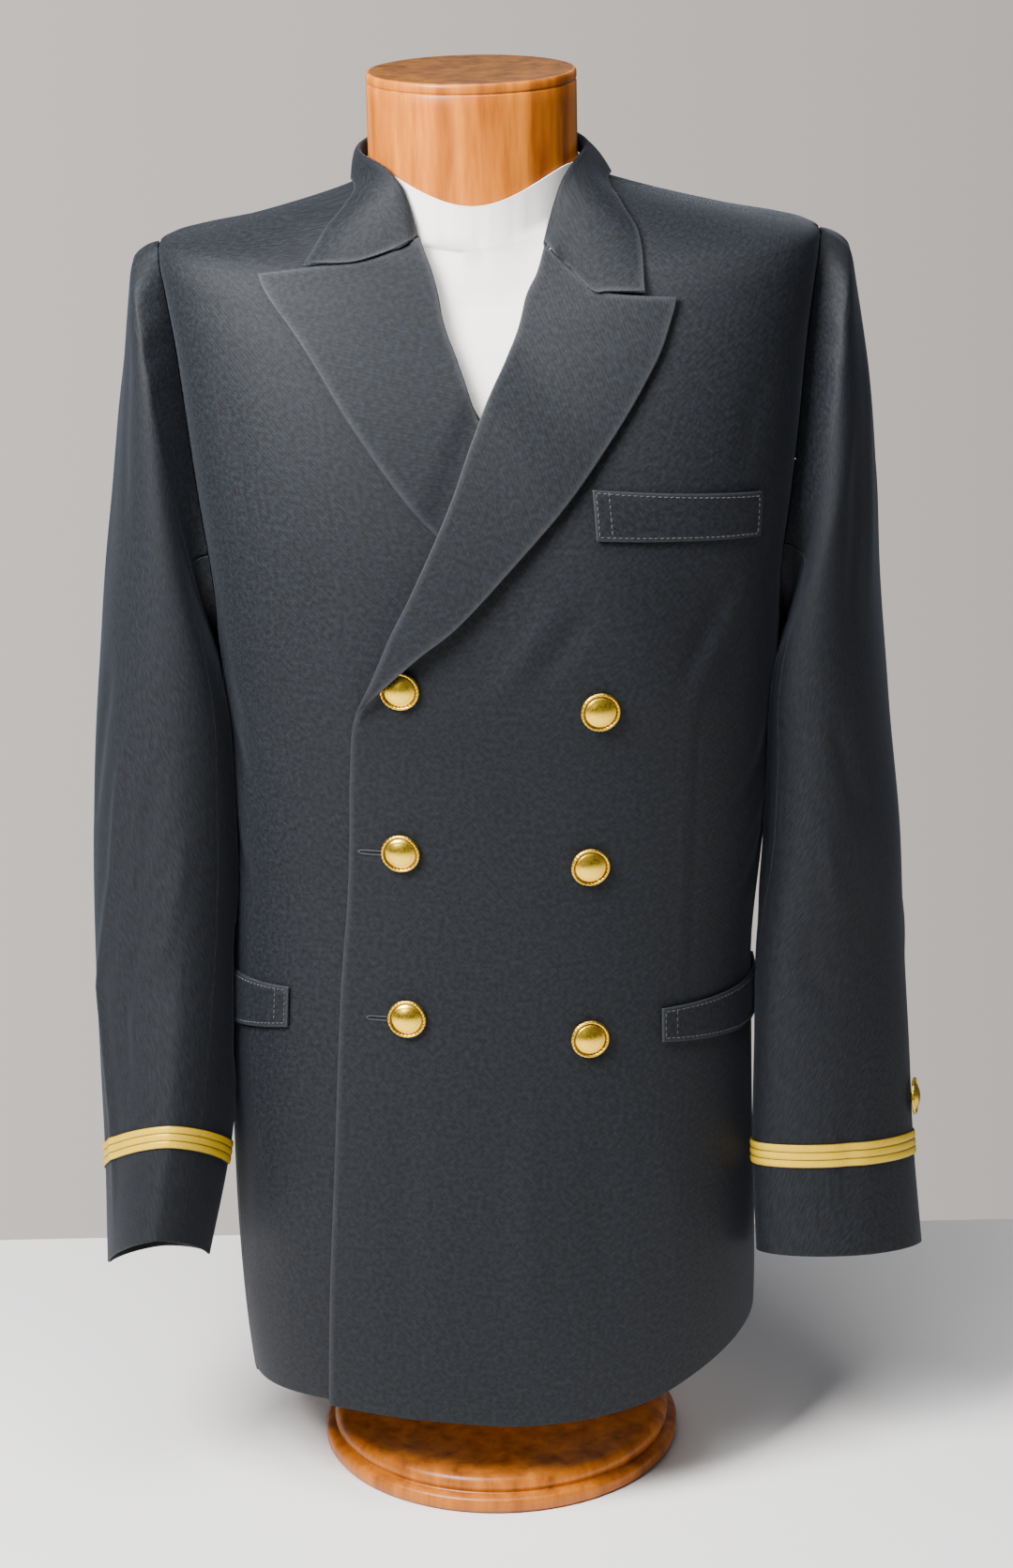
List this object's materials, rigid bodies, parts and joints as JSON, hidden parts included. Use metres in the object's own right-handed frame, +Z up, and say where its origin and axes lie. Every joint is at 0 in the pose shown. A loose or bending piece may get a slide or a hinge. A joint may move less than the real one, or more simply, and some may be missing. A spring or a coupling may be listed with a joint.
{
  "type": "dress jacket on a dress form",
  "caption": "Double-breasted dark naval dress jacket with peaked lapels, domed gilt buttons and gold cuff braid, worn by a limbless dress form with a wooden neck block and base",
  "frame": {"origin": "middle of the base's underside, on the form's upright axis", "axes": "+Z up along the form; the front faces -Y; +X is the wearer's left"},
  "size_m": [0.5208, 0.2582, 0.894],
  "materials": {
    "serge": "fine plain-woven black wool serge, pressed",
    "lace": "flat ridged gold lace",
    "gilt": "polished gilt, plain domed face with a rim",
    "jersey": "white cotton jersey over padding",
    "stained_wood": "orange-brown stain, glossy lacquer",
    "base_wood": "orange-brown stain, glossy lacquer"
  },
  "bodies": {
    "root": {"front_left": "serge", "front_right": "serge", "back_left": "serge", "back_right": "serge", "side_left": "serge", "side_right": "serge", "lapel_left": "serge", "lapel_right": "serge", "collar": "serge", "top_sleeve_left": "serge", "top_sleeve_right": "serge", "under_sleeve_left": "serge", "under_sleeve_right": "serge", "cuff_braid_left": "lace", "cuff_braid_right": "lace", "breast_welt": "serge", "hip_welt_left": "serge", "hip_welt_right": "serge", "button_1_left": "gilt", "button_1_right": "gilt", "button_2_left": "gilt", "button_2_right": "gilt", "button_3_left": "gilt", "button_3_right": "gilt", "button_cuff_left": "gilt", "button_cuff_right": "gilt", "form_torso": "jersey", "neck_block": "stained_wood", "stand_post": "stained_wood", "stand_base": "base_wood"}
  },
  "joints": []
}
